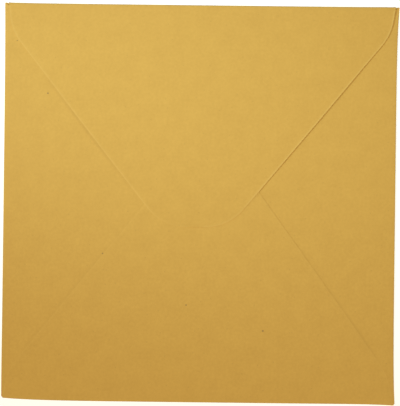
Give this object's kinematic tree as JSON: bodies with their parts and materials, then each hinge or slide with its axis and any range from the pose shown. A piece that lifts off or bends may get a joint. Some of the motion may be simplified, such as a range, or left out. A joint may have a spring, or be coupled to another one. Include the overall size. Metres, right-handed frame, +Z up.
{
  "type": "square envelope",
  "caption": "Flat square paper envelope with a deep, round-nosed flap folded over diagonal gummed seams, for holding and posting a folded card.",
  "frame": {"origin": "middle of the front, on the plane the envelope lies on", "axes": "+Z up out of the flap side, +Y towards the top fold, +X to the right when the flap side is read with its fold at the top"},
  "size_m": [0.155, 0.156, 0.0023],
  "materials": {
    "yellow_paper": "matte, deep yellow all through, lightly mottled, with a few dark specks"
  },
  "bodies": {
    "root": {"envelope_sheet": "yellow_paper"}
  },
  "joints": []
}
